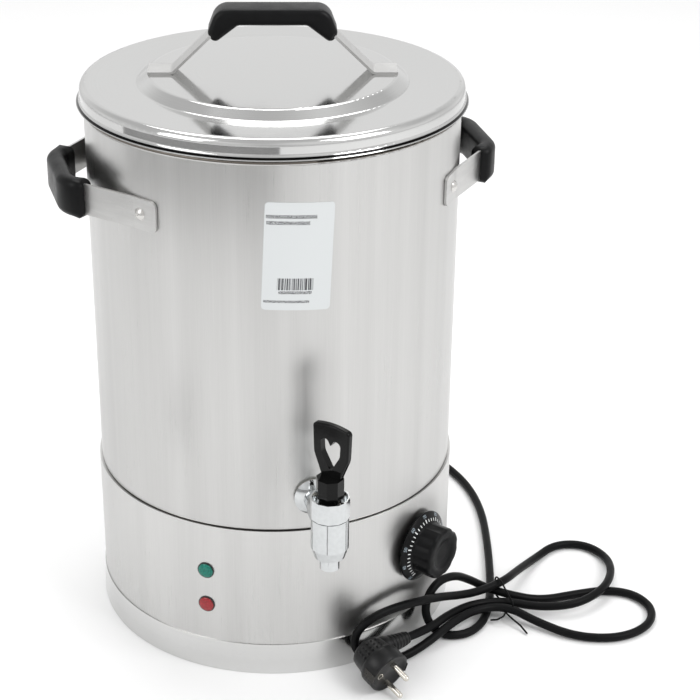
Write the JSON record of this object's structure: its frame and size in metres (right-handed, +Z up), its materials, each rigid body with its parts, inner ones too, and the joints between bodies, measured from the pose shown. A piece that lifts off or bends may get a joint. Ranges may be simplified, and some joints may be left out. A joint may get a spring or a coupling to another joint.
{
  "type": "electric water boiler",
  "caption": "Cylindrical steel water boiler with a lift-off lid, two side handles, a self-closing lever tap, a thermostat dial, pilot lamps and a bundled mains lead.",
  "frame": {"origin": "centre of the bottom pan's flat underside, on the boiler's axis", "axes": "+Z up along the boiler's axis; the tap looks along -Y; +X is to the right seen from the tap; the right handle's middle is on the X axis and the left one's is 3.8 degrees nearer the tap"},
  "size_m": [0.4909, 0.4012, 0.5213],
  "materials": {
    "brushed_steel": "vertically brushed stainless steel",
    "polished_steel": "polished stainless steel",
    "zinc_steel": "zinc-plated steel",
    "grip_phenolic": "satin black phenolic",
    "tap_chrome": "chrome plated brass",
    "lever_gloss": "glossy black plastic",
    "spring_steel": "stainless wire and rod",
    "silicone": "translucent white silicone",
    "brass": "plain brass",
    "dial_black": "black moulded plastic with pale printed figures",
    "switch_plastic": "black moulded plastic",
    "copper_tube": "bare copper tube",
    "green_glass": "clear green lens",
    "red_glass": "clear red lens",
    "pale_ceramic": "unglazed terminal ceramic",
    "wire_insulation": "insulated leads",
    "cord_rubber": "black flexible PVC",
    "tie_plastic": "plastic-coated wire",
    "nickel": "nickel-plated brass",
    "paper_label": "white paper"
  },
  "bodies": {
    "boiler": {"base_casing": "brushed_steel", "bottom_pan": "polished_steel", "cord_gland": "cord_rubber", "cord_tie": "tie_plastic", "earth_stud": "brass", "element_blades": "brass", "element_bushings": "brass", "element_gaskets": "silicone", "element_nuts": "brass", "gland_nut": "switch_plastic", "green_lens": "green_glass", "grip_left": "grip_phenolic", "grip_right": "grip_phenolic", "handle_rivets": "polished_steel", "handle_strap_left": "brushed_steel", "handle_strap_right": "brushed_steel", "heating_element": "polished_steel", "label_sticker": "paper_label", "lamp_bodies": "switch_plastic", "lamp_nuts": "switch_plastic", "lever_pin": "zinc_steel", "pan_brackets": "zinc_steel", "pan_screws": "zinc_steel", "plug_body": "cord_rubber", "plug_earth_contacts": "nickel", "plug_pins": "nickel", "power_cord": "cord_rubber", "red_lens": "red_glass", "tank_floor": "brushed_steel", "tank_shell": "brushed_steel", "tap_body": "tap_chrome", "tap_collar": "tap_chrome", "tap_flange": "tap_chrome", "tap_inner_gasket": "silicone", "tap_lock_nut": "brass", "tap_outer_gasket": "silicone", "tap_spring": "spring_steel", "terminal_block": "pale_ceramic", "thermal_cutout": "switch_plastic", "thermostat_body": "switch_plastic", "thermostat_bulb": "copper_tube", "thermostat_capillary": "copper_tube", "thermostat_screws": "zinc_steel", "wiring": "wire_insulation"},
    "lid": {"lid_shell": "polished_steel", "lid_locating_ring": "polished_steel", "lid_handle_strap": "brushed_steel", "lid_grip": "grip_phenolic"},
    "lever": {"tap_lever": "lever_gloss"},
    "valve": {"valve_stem": "spring_steel", "seat_cup": "silicone"},
    "dial": {"dial_knob": "dial_black", "thermostat_shaft": "zinc_steel"}
  },
  "joints": [
    {"name": "lid_lift", "type": "slide", "parent": "boiler", "child": "lid", "axis": [0, 0, 1], "range_m": [0, 0.15]},
    {"name": "lever_tilt", "type": "hinge", "parent": "boiler", "child": "lever", "pos_m": [0, -0.209, 0.197], "axis": [0.6534, -0.757, 0], "range_deg": [0, 25], "stiffness_Nm_per_rad": 0.4, "springref_deg": -20.05},
    {"name": "valve_lift", "type": "slide", "parent": "boiler", "child": "valve", "axis": [0, 0, 1], "range_m": [0, 0.0032], "deforming": ["tap_spring"]},
    {"name": "dial_turn", "type": "hinge", "parent": "boiler", "child": "dial", "pos_m": [0, 0, 0.0878], "axis": [0.6414, -0.7672, 0], "range_deg": [-270, 0]}
  ],
  "couplings": [
    {"joint": "valve_lift", "follows": "lever_tilt", "m_per_rad": 0.006875}
  ]
}
